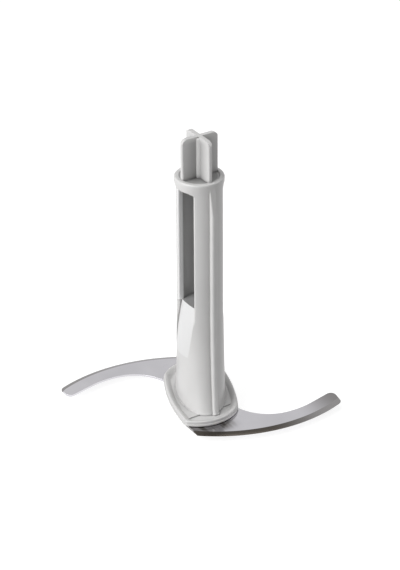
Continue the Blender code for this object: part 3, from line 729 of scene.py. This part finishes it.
class Tree:
    """A Geometry Nodes tree under construction."""

    def __init__(self, name):
        self.group = bpy.data.node_groups.new(name, "GeometryNodeTree")
        self.names = {}
        self.group.interface.new_socket("Geometry", in_out="INPUT", socket_type="NodeSocketGeometry")
        self.group.interface.new_socket("Geometry", in_out="OUTPUT", socket_type="NodeSocketGeometry")
        self.entry = self.group.nodes.new("NodeGroupInput")
        self.exit = self.group.nodes.new("NodeGroupOutput")

    def value(self, name, kind):
        """A named input of the tree."""
        item = self.group.interface.new_socket(name, in_out="INPUT", socket_type=kind)
        self.names[name] = item.identifier
        return self.entry.outputs[name]

    def node(self, kind, settings=None, **sockets):
        """A node with its settings, then its socket values or links."""
        made = self.group.nodes.new(kind)
        for key, setting in (settings or {}).items():
            setattr(made, key, setting)
        for key, given in sockets.items():
            socket = made.inputs[key.replace("_", " ")]
            if isinstance(given, bpy.types.NodeSocket):
                self.group.links.new(given, socket)
            else:
                socket.default_value = given
        return made

    def solid(self, name):
        """The geometry of an object that the tree takes by name."""
        picked = self.node("GeometryNodeObjectInfo", Object=self.value(name, "NodeSocketObject"))
        return picked.outputs["Geometry"]

    def repeat(self, geometry, count):
        """Copies of a solid at even angles about the axis."""
        line = self.node("GeometryNodeMeshLine", {"mode": "OFFSET"}, Count=count, Offset=(0.0, 0.0, 0.0))
        index = self.node("GeometryNodeInputIndex").outputs[0]
        turn = self.node("ShaderNodeMath", {"operation": "DIVIDE"})
        self.group.links.new(index, turn.inputs[0])
        self.group.links.new(count, turn.inputs[1])
        angle = self.node("ShaderNodeMath", {"operation": "MULTIPLY"})
        self.group.links.new(turn.outputs[0], angle.inputs[0])
        angle.inputs[1].default_value = 2 * math.pi
        axis = self.node("ShaderNodeCombineXYZ", Z=angle.outputs[0]).outputs[0]
        copies = self.node("GeometryNodeInstanceOnPoints", Points=line.outputs[0], Instance=geometry,
                           Rotation=axis)
        return self.node("GeometryNodeRealizeInstances", Geometry=copies.outputs[0]).outputs[0]

    def boolean(self, operation, first, others):
        """An exact join, cut or overlap of solids."""
        made = self.node("GeometryNodeMeshBoolean", {"operation": operation, "solver": "EXACT"})
        if operation == "DIFFERENCE":
            self.group.links.new(first, made.inputs["Mesh 1"])
        else:
            self.group.links.new(first, made.inputs["Mesh 2"])
        for other in others:
            self.group.links.new(other, made.inputs["Mesh 2"])
        return made.outputs["Mesh"]

    def finish(self, geometry):
        """Ends the tree with one plain mesh in its own material."""
        shade = self.node("GeometryNodeSetShadeSmooth", Geometry=geometry).outputs[0]
        plain = self.node("GeometryNodeRealizeInstances", Geometry=shade).outputs[0]
        material = self.value("Material", "NodeSocketMaterial")
        dressed = self.node("GeometryNodeSetMaterial", Geometry=plain, Material=material).outputs[0]
        self.group.links.new(dressed, self.exit.inputs[0])

    def grow(self, name, values):
        """Runs the tree on an empty mesh and returns the result as an object with a plain mesh."""
        seed = add_object(name + "_seed", bpy.data.meshes.new(name + "_seed"))
        step = seed.modifiers.new("grow", "NODES")
        step.node_group = self.group
        for key, given in values.items():
            step[self.names[key]] = given
        bpy.context.view_layer.update()
        graph = bpy.context.evaluated_depsgraph_get()
        mesh = bpy.data.meshes.new_from_object(seed.evaluated_get(graph), depsgraph=graph)
        mesh.name = name
        seed.modifiers.remove(step)
        bpy.data.objects.remove(seed)
        return add_object(name, mesh)


def hub_tree():
    """Joins the solids of the hub, repeats fins, windows and pegs about the axis, and cuts the hollows."""
    tree = Tree("hub growth")
    fins = tree.value("Fins", "NodeSocketInt")
    sides = tree.value("Sides", "NodeSocketInt")
    ring = tree.repeat(tree.solid("Fin"), fins)
    cross = tree.boolean("UNION", ring, [tree.solid("Post")])
    cross.node.inputs["Self Intersection"].default_value = True
    cross = tree.boolean("INTERSECT", cross, [tree.solid("Shoulder")])
    outer = [tree.solid(name) for name in ("Foot", "Deck", "Collar")]
    pegs = tree.repeat(tree.solid("Peg"), sides)
    joined = tree.boolean("UNION", tree.solid("Body"), outer + [cross, pegs])
    windows = tree.repeat(tree.solid("Window"), sides)
    shaft_space = tree.boolean("UNION", tree.solid("Bore"), [windows])
    cap_space = tree.boolean("UNION", tree.solid("Socket"), [tree.solid("Core")])
    hollow = tree.boolean("DIFFERENCE", joined, [cap_space])
    hollow = tree.boolean("DIFFERENCE", hollow, [shaft_space])
    tree.finish(hollow)
    return tree


# Shaders

class Signal:
    """A number in a shader, with its arithmetic written as Python operators."""

    def __init__(self, finish, socket):
        self.finish = finish
        self.socket = socket

    def _math(self, operation, *values):
        return self.finish.number("ShaderNodeMath", {"operation": operation}, *values)

    def __add__(self, other):
        return self._math("ADD", self, other)

    __radd__ = __add__

    def __sub__(self, other):
        return self._math("SUBTRACT", self, other)

    def __rsub__(self, other):
        return self._math("SUBTRACT", other, self)

    def __mul__(self, other):
        return self._math("MULTIPLY", self, other)

    __rmul__ = __mul__

    def power(self, other):
        return self._math("POWER", self, other)

    def above(self, other):
        """1 where the signal is greater, 0 elsewhere."""
        return self._math("GREATER_THAN", self, other)

    def within(self, low, high):
        """1 between two values, 0 outside them."""
        return self.above(low) * (1 - self.above(high))

    def ramp(self, low, high, start=0.0, end=1.0):
        """Rises from start to end as the signal goes from low to high, and stays within them."""
        return self.finish.number("ShaderNodeMapRange", {"interpolation_type": "SMOOTHSTEP"},
                                  self, low, high, start, end)

    def spread(self, start=0.0, end=1.0):
        """A noise whose middle is spread from start to end."""
        return self.ramp(NOISE_LOW, NOISE_HIGH, start, end)


def grey(level, warmth=0.0):
    """A grey colour, slightly warm or cool."""
    return (level * (1 + warmth), level, level * (1 - warmth), 1.0)


class Finish:
    """A surface finish under construction, with Object coordinates as its base."""

    def __init__(self, name):
        self.material = bpy.data.materials.new(name)
        self.material.use_nodes = True
        self.tree = self.material.node_tree
        self.tree.nodes.clear()
        self.output = self.tree.nodes.new("ShaderNodeOutputMaterial")
        self.place = self.node("ShaderNodeTexCoord").outputs["Object"]

    def node(self, kind, settings=None, *values, **sockets):
        """A node with its settings, then the values or links of its sockets in order or by name."""
        made = self.tree.nodes.new(kind)
        for key, setting in (settings or {}).items():
            setattr(made, key, setting)
        pairs = list(zip(made.inputs, values))
        pairs += [(made.inputs[key.replace("_", " ")], given) for key, given in sockets.items()]
        for socket, given in pairs:
            given = given.socket if isinstance(given, Signal) else given
            if isinstance(given, bpy.types.NodeSocket):
                self.tree.links.new(given, socket)
            elif given is not None:
                socket.default_value = given
        return made

    def number(self, kind, settings, *values):
        """The first output of a node, as a number."""
        return Signal(self, self.node(kind, settings, *values).outputs[0])

    def axes(self):
        """The three parts of the place on the object."""
        parts = self.node("ShaderNodeSeparateXYZ", None, self.place)
        return [Signal(self, parts.outputs[i]) for i in range(3)]

    def vector(self, x, y, z):
        """A vector from three numbers."""
        return self.node("ShaderNodeCombineXYZ", None, x, y, z).outputs[0]

    def noise(self, scale=1.0, detail=2.0, roughness=0.5, vector=None):
        """A noise between about 0 and 1."""
        made = self.node("ShaderNodeTexNoise", None, Vector=vector or self.place, Scale=scale,
                         Detail=detail, Roughness=roughness)
        return Signal(self, made.outputs[0])

    def stretched(self, sx, sy, sz):
        """The place on the object, stretched along each axis."""
        return self.node("ShaderNodeMapping", None, Vector=self.place, Scale=(sx, sy, sz)).outputs[0]

    def blend(self, share, first, second):
        """A colour between two colours."""
        made = self.node("ShaderNodeMix", {"data_type": "RGBA"})
        for index, given in ((MIX_SHARE, share), (MIX_FIRST, first), (MIX_SECOND, second)):
            given = given.socket if isinstance(given, Signal) else given
            if isinstance(given, bpy.types.NodeSocket):
                self.tree.links.new(given, made.inputs[index])
            else:
                made.inputs[index].default_value = given
        return made.outputs[MIX_RESULT]

    def tint(self, colour, shade):
        """A colour multiplied by a grey shade."""
        made = self.node("ShaderNodeMix", {"data_type": "RGBA", "blend_type": "MULTIPLY"})
        made.inputs[MIX_SHARE].default_value = 1.0
        self.tree.links.new(colour, made.inputs[MIX_FIRST])
        made.inputs[MIX_SECOND].default_value = grey(shade)
        return made.outputs[MIX_RESULT]

    def openness(self, reach):
        """How open a place is: 1 on an outer face, near 0 deep in a corner or hollow."""
        made = self.node("ShaderNodeAmbientOcclusion", {"samples": NEAR_SAMPLES, "only_local": True},
                         Distance=reach)
        return Signal(self, made.outputs["AO"])

    def soft_edges(self, radius):
        """A normal that rounds sharp edges over a radius."""
        return self.node("ShaderNodeBevel", {"samples": NEAR_SAMPLES}, Radius=radius).outputs[0]

    def bump(self, height, strength, distance, normal):
        """A normal bent by a height."""
        return self.node("ShaderNodeBump", None, Strength=strength, Distance=distance, Height=height,
                         Normal=normal).outputs[0]

    def surface(self, **sockets):
        """Ends the finish in one Principled surface."""
        shader = self.node("ShaderNodeBsdfPrincipled", None, **sockets)
        self.tree.links.new(shader.outputs[0], self.output.inputs["Surface"])
        return self.material


def distance(across, along):
    """The length of a plane step, from its two parts."""
    return (across * across + along * along).power(0.5)


def scoop_painted_light_mask(y, z):
    """Where the scoops below the sills get painted light, fading at their side edges."""
    inward = (y * y).ramp(WINDOW_HALF_WIDTH ** 2, WINDOW_HALF_WIDTH ** 2 * SCOOP_FADE)
    return inward * z.ramp(SCOOP_LEVEL, SCOOP_LEVEL + CLEAR) * (1 - z.above(SILL_LEVEL + CLEAR / 2))


def inner_painted_shade_mask(shaded_side, radius, z):
    """Where painted shade goes: the hollow of the shaft, and the cut through its wall on the shaded side of
    each window.
    """
    dull_to = BORE_RADIUS + INNER_FADE + shaded_side * (SHAFT_RADIUS - WINDOW_EDGE - BORE_RADIUS)
    inward = 1 - (radius - dull_to).ramp(-INNER_FADE, 0.0)
    return inward * z.within(SILL_LEVEL - CLEAR / 2, COLLAR_LEVEL + SEAT_GAP + CLEAR)


def jamb_painted_light_mask(shaded_side, radius, z):
    """Where painted light goes: the cut through the wall on the lit side of each window."""
    outward = radius.ramp(BORE_RADIUS, BORE_RADIUS + INNER_FADE)
    inward = 1 - radius.ramp(SHAFT_RADIUS - WINDOW_EDGE, SHAFT_RADIUS - CLEAR)
    return (1 - shaded_side) * outward * inward * z.within(SILL_LEVEL + CLEAR / 2, WINDOW_TOP)


def cross_painted_shade_mask(radius, z):
    """Where painted shade goes in the corners between the fins, fading outwards and towards their
    shoulders.
    """
    inward = radius.above(POST_RADIUS + CLEAR / 2) * (1 - radius.ramp(POST_RADIUS, FIN_REACH))
    return inward * z.above(RECESS_LEVEL - CLEAR) * (1 - z.ramp(FIN_TOP - FIN_SHOULDER, FIN_TOP - CLEAR))


def recess_painted_shade_mask(radius, z):
    """Where painted shade goes on the floor of the recess around the fins."""
    inward = 1 - radius.ramp(RECESS_RADIUS - RECESS_FADE, RECESS_RADIUS + CLEAR)
    return inward * z.within(RECESS_LEVEL - CLEAR, RECESS_LEVEL + CLEAR / 2)


def moulded_plastic(name, colour, roughness):
    """Light grey moulded plastic: flow clouds, a satin skin, softened edges, painted shade in corners,
    hollows, the shaft's inside, between the fins and on the recess floor, and painted light on the scoops
    and lit jambs.
    """
    finish = Finish(name)
    clouds = finish.noise(CLOUD_SCALE, CLOUD_DETAIL)
    skin = finish.noise(SKIN_SCALE)
    pores = finish.noise(PORE_SCALE)
    darker = tuple(part * CLOUD_SHADE for part in colour[:3]) + (1.0,)
    tone = finish.blend(clouds.spread(), darker, colour)
    # Painted shade: inner corners and deep hollows darken by how closed in they are
    for reach, low, high, shade in (CORNER_PAINTED_SHADE, HOLLOW_PAINTED_SHADE):
        tone = finish.blend(finish.openness(reach).ramp(low, high), finish.tint(tone, shade), tone)
    x, y, z = finish.axes()
    radius = distance(x, y)
    shaded_side = (x * y).above(0.0)
    # Painted light on the scoops
    tone = finish.blend(scoop_painted_light_mask(y, z), tone, grey(SCOOP_PAINTED_LIGHT))
    # Painted shade inside the shaft
    tone = finish.blend(inner_painted_shade_mask(shaded_side, radius, z), tone, finish.tint(tone, INNER_PAINTED_SHADE))
    # Painted light on the lit jambs
    tone = finish.blend(jamb_painted_light_mask(shaded_side, radius, z), tone, grey(JAMB_PAINTED_LIGHT))
    # Painted shade between the fins
    tone = finish.blend(cross_painted_shade_mask(radius, z), tone, finish.tint(tone, CROSS_PAINTED_SHADE))
    # Painted shade on the recess floor
    tone = finish.blend(recess_painted_shade_mask(radius, z), tone, finish.tint(tone, RECESS_PAINTED_SHADE))
    rough = roughness + clouds.ramp(CLOUD_LOW, CLOUD_HIGH, -SATIN_SPREAD, SATIN_SPREAD)
    rough = rough + pores.spread(-SATIN_SPREAD, SATIN_SPREAD)
    height = skin * SKIN_SHARE + pores * (1 - SKIN_SHARE)
    normal = finish.bump(height, PLASTIC_BUMP, PLASTIC_BUMP_DEPTH, finish.soft_edges(PLASTIC_EDGE))
    return finish.surface(Base_Color=tone, Roughness=rough, Normal=normal, IOR=PLASTIC_IOR)


def blade_steel():
    """Polished stainless sheet: rolling grain, a bevel darkened by painted reflection, and on the front arm
    a painted dark reflection at its end and a painted streaked reflection of the foot.
    """
    finish = Finish("blade steel")
    x, y = finish.axes()[:2]
    front = 1 - y.above(0.0)
    arm = y.above(0.0) * 2.0 - 1.0
    outward = x * arm * -1.0
    along = x * arm - CUT_CENTRE.x
    across = y * arm - CUT_CENTRE.y
    reach = distance(along, across)
    turn = finish.number("ShaderNodeMath", {"operation": "ARCTAN2"}, across, along)
    bevel_start = CUT_RADIUS - GRIND_WIDTH
    on_bevel = reach.ramp(bevel_start - BEVEL_BLUR, bevel_start + BEVEL_BLUR)

    line_place = finish.vector(turn * CUT_RADIUS * LINES_ALONG, reach * LINES_ACROSS,
                               arm * LINES_BETWEEN_ARMS)
    lines = finish.noise(roughness=STEEL_NOISE_ROUGHNESS, vector=line_place)
    grain = finish.noise(detail=GRAIN_DETAIL, roughness=STEEL_NOISE_ROUGHNESS,
                         vector=finish.stretched(*GRAIN_STRETCH))
    haze = finish.noise(HAZE_SCALE, HAZE_DETAIL)

    flat_tone = finish.blend(haze.spread(), STEEL_DARKER, STEEL_LIGHTER)
    # Painted dark reflection towards the end of the front arm
    flat_tone = finish.blend(front * outward.ramp(END_REFLECTION_START, END_REFLECTION_END), flat_tone, STEEL_PAINTED_END_REFLECTION)
    # Painted reflection of the foot on the front arm, broken into streaks
    from_foot = distance(x + FOOT_END_CENTRE.x, y + FOOT_END_CENTRE.y) - FOOT_END_RADIUS
    painted_foot_reflection = front * (1 - from_foot.ramp(MIRROR_START, MIRROR_END))
    painted_foot_reflection = painted_foot_reflection * (1 - x.ramp(MIRROR_SIDE_START, MIRROR_SIDE_END))
    streaks = finish.noise(detail=STREAK_DETAIL, vector=finish.stretched(*STREAK_STRETCH))
    painted_foot_reflection = painted_foot_reflection * streaks.ramp(STREAK_LOW, STREAK_HIGH, 1.0, STREAK_GAP)
    flat_tone = finish.blend(painted_foot_reflection, flat_tone, STEEL_PAINTED_FOOT_REFLECTION)
    # Bevels darkened by painted reflection, darkest on the front arm and lighter towards the tips
    bevel_tone = finish.blend(front, BEVEL_BACK_PAINTED_REFLECTION, BEVEL_FRONT_PAINTED_REFLECTION)
    bevel_tone = finish.blend(outward.ramp(BEVEL_TIP_START, BEVEL_TIP_END), bevel_tone, BEVEL_TIP)
    tone = finish.blend(on_bevel, flat_tone, bevel_tone)

    flat_rough = FLAT_ROUGHNESS + grain.spread(0.0, GRAIN_ROUGHNESS) + haze.spread(0.0, HAZE_ROUGHNESS)
    bevel_rough = BEVEL_ROUGHNESS + lines.spread(0.0, LINE_ROUGHNESS)
    rough = flat_rough + on_bevel * (bevel_rough - flat_rough)
    height = grain * GRAIN_HEIGHT * (1 - on_bevel) + lines * on_bevel
    normal = finish.bump(height, STEEL_BUMP, STEEL_BUMP_DEPTH, finish.soft_edges(STEEL_EDGE))
    return finish.surface(Base_Color=tone, Roughness=rough, Normal=normal, Metallic=1.0)


def white_floor():
    """A white floor that the camera sees as white but for the shadows on it."""
    finish = Finish("white floor")
    rays = finish.node("ShaderNodeLightPath").outputs
    seen = Signal(finish, rays["Is Camera Ray"])
    for name in ("Is Glossy Ray", "Is Transmission Ray"):
        seen = finish.number("ShaderNodeMath", {"operation": "MAXIMUM"}, seen, rays[name])
    paper = finish.node("ShaderNodeBsdfDiffuse", None, Color=grey(FLOOR_PAPER)).outputs[0]
    glow = finish.node("ShaderNodeEmission", None, Color=grey(1.0), Strength=FLOOR_GLOW).outputs[0]
    lit = finish.node("ShaderNodeAddShader", None, paper, glow).outputs[0]
    mixed = finish.node("ShaderNodeMixShader", None, seen, paper, lit).outputs[0]
    finish.tree.links.new(mixed, finish.output.inputs["Surface"])
    return finish.material


def make_studio():
    """A white floor, an even white sky and three large soft lamps, the strongest from the left."""
    floor = add_object("floor", bpy.data.meshes.new("floor"))
    half = FLOOR_SIZE / 2
    floor.data.from_pydata([(-half, -half, 0.0), (half, -half, 0.0), (half, half, 0.0), (-half, half, 0.0)],
                           [], [(0, 1, 2, 3)])
    floor.data.materials.append(white_floor())

    world = bpy.data.worlds.new("white sky")
    world.use_nodes = True
    bpy.context.scene.world = world
    nodes, links = world.node_tree.nodes, world.node_tree.links
    nodes.clear()
    rays = nodes.new("ShaderNodeLightPath")
    level = nodes.new("ShaderNodeMath")
    level.operation = "MAXIMUM"
    links.new(rays.outputs["Is Camera Ray"], level.inputs[0])
    links.new(rays.outputs["Is Glossy Ray"], level.inputs[1])
    lift = nodes.new("ShaderNodeMapRange")
    links.new(level.outputs[0], lift.inputs["Value"])
    lift.inputs["To Min"].default_value = WORLD_LEVEL
    lift.inputs["To Max"].default_value = 1.0
    sky = nodes.new("ShaderNodeBackground")
    links.new(lift.outputs[0], sky.inputs["Strength"])
    links.new(sky.outputs[0], nodes.new("ShaderNodeOutputWorld").inputs["Surface"])

    hang_lamp("left lamp", KEY_PLACE, KEY_SIZE, KEY_POWER)
    hang_lamp("right lamp", FILL_PLACE, FILL_SIZE, FILL_POWER)
    hang_lamp("top lamp", TOP_PLACE, TOP_SIZE, TOP_POWER)


def hang_lamp(name, place, size, power):
    """A round soft lamp that faces the middle of the object."""
    lamp = bpy.data.lights.new(name, "AREA")
    lamp.shape = "DISK"
    lamp.size = size
    lamp.energy = power
    hung = bpy.data.objects.new(name, lamp)
    bpy.context.scene.collection.objects.link(hung)
    hung.location = place
    hung.rotation_euler = (Vector((0.0, 0.0, LAMP_AIM)) - place).to_track_quat("-Z", "Y").to_euler()


def make_camera():
    """The camera of the photo."""
    lens = bpy.data.cameras.new("camera")
    lens.lens = CAMERA_LENS
    lens.sensor_width = CAMERA_SENSOR
    camera = bpy.data.objects.new("camera", lens)
    bpy.context.scene.collection.objects.link(camera)
    azimuth, pitch, roll = (math.radians(angle) for angle in (CAMERA_AZIMUTH, CAMERA_PITCH, CAMERA_ROLL))
    turn = (Matrix.Rotation(azimuth, 3, "Z") @ Matrix.Rotation(math.pi / 2 - pitch, 3, "X")
            @ Matrix.Rotation(roll, 3, "Z"))
    camera.matrix_world = Matrix.Translation(CAMERA_PLACE) @ turn.to_4x4()
    bpy.context.scene.camera = camera


# Pieces

def shade(piece):
    """Smooth shading that keeps real corners sharp and lets large faces lead."""
    piece.data.shade_smooth()
    piece.data.set_sharp_from_angle(angle=SMOOTH_ANGLE)
    step = piece.modifiers.new("even shading", "WEIGHTED_NORMAL")
    step.keep_sharp = True


def settle(piece, node):
    """Puts a finished piece in place of its CAD node."""
    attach(piece, "root")
    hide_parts(node)


def make_hub(material):
    """The light grey moulding."""
    solids = {"Fin": fin_mesh(), "Post": post_mesh(), "Shoulder": shoulder_mesh(), "Foot": foot_mesh(),
              "Deck": deck_mesh(), "Collar": collar_mesh(), "Peg": peg_mesh(), "Body": body_mesh(),
              "Window": window_mesh(), "Bore": bore_mesh(), "Core": core_mesh(), "Socket": socket_mesh()}
    values = {name: add_object("hub_" + name.lower(), mesh) for name, mesh in solids.items()}
    tools = list(values.values())
    values.update({"Fins": FIN_COUNT, "Sides": SIDE_COUNT, "Material": material})
    piece = hub_tree().grow("moulded_hub", values)
    for tool in tools:
        bpy.data.objects.remove(tool)
    shade(piece)
    settle(piece, "hub")


def make_blade(material):
    """The stamped S plate with its ground bevel, centre hole and peg holes."""
    full = blade_outline(CUT_RADIUS)
    ground = blade_outline(CUT_RADIUS - GRIND_WIDTH)
    rings = [ring_points(full, PLATE_BOTTOM), ring_points(full, PLATE_BOTTOM + EDGE_THICKNESS),
             ring_points(ground, PLATE_TOP)]
    piece = add_object("steel_blade", mesh_from_rings("steel_blade", rings))
    low, high = PLATE_BOTTOM - OVERRUN, PLATE_TOP + OVERRUN
    holes = [((0.0, 0.0), SOCKET_RADIUS)] + [(place, PEG_HOLE_RADIUS) for place in peg_places()]
    for place, radius in holes:
        profile = [(0.0, low), (radius, low), (radius, high), (0.0, high)]
        cut(piece, turned_mesh("hole", profile, place, TURN_STEPS // 2))
    piece.data.materials.append(material)
    shade(piece)
    settle(piece, "blade")


def cut(piece, mesh):
    """Cuts a solid out of a piece for good."""
    tool = add_object("cutter", mesh)
    step = piece.modifiers.new("cut", "BOOLEAN")
    step.operation = "DIFFERENCE"
    step.solver = "EXACT"
    step.object = tool
    graph = bpy.context.evaluated_depsgraph_get()
    result = bpy.data.meshes.new_from_object(piece.evaluated_get(graph), depsgraph=graph)
    piece.modifiers.remove(step)
    piece.data = result
    bpy.data.objects.remove(tool)


def make_cap(material):
    """The cap under the blade, with its rest ring and the bore for the pin of the bowl."""
    profile = [(0.0, PIN_BORE_DEPTH), (PIN_BORE_RADIUS, PIN_BORE_DEPTH),
               (PIN_BORE_RADIUS, PIN_BORE_LEAD_IN + REST_RING_DEPTH),
               (PIN_BORE_RADIUS + PIN_BORE_LEAD_IN, REST_RING_DEPTH),
               (REST_RING_INNER_RADIUS, REST_RING_DEPTH), (REST_RING_INNER_RADIUS, 0.0)]
    profile += rounded_corner(CAP_RADIUS - CAP_EDGE, CAP_EDGE, CAP_EDGE, -90)
    profile += rounded_corner(CAP_RADIUS - CAP_EDGE, CAP_HEIGHT - CAP_EDGE, CAP_EDGE, 0)
    profile += [(SPIGOT_RADIUS, CAP_HEIGHT), (SPIGOT_RADIUS, SPIGOT_TOP - SPIGOT_LEAD_IN),
                (SPIGOT_RADIUS - SPIGOT_LEAD_IN, SPIGOT_TOP), (0.0, SPIGOT_TOP)]
    piece = add_object("moulded_cap", turned_mesh("moulded_cap", profile))
    low, high = CAP_HEIGHT - PEG_POCKET_DEPTH, CAP_HEIGHT + OVERRUN
    for place in peg_places():
        pocket = [(0.0, low), (PEG_HOLE_RADIUS, low), (PEG_HOLE_RADIUS, high), (0.0, high)]
        cut(piece, turned_mesh("pocket", pocket, place, TURN_STEPS // 4))
    piece.data.materials.append(material)
    shade(piece)
    settle(piece, "base_cap")


make_camera()
make_studio()
make_hub(moulded_plastic("hub plastic", grey(HUB_GREY, PLASTIC_WARMTH), HUB_ROUGHNESS))
make_blade(blade_steel())
make_cap(moulded_plastic("cap plastic", grey(CAP_GREY, PLASTIC_WARMTH), CAP_ROUGHNESS))

bpy.context.scene.view_settings.view_transform = "Standard"
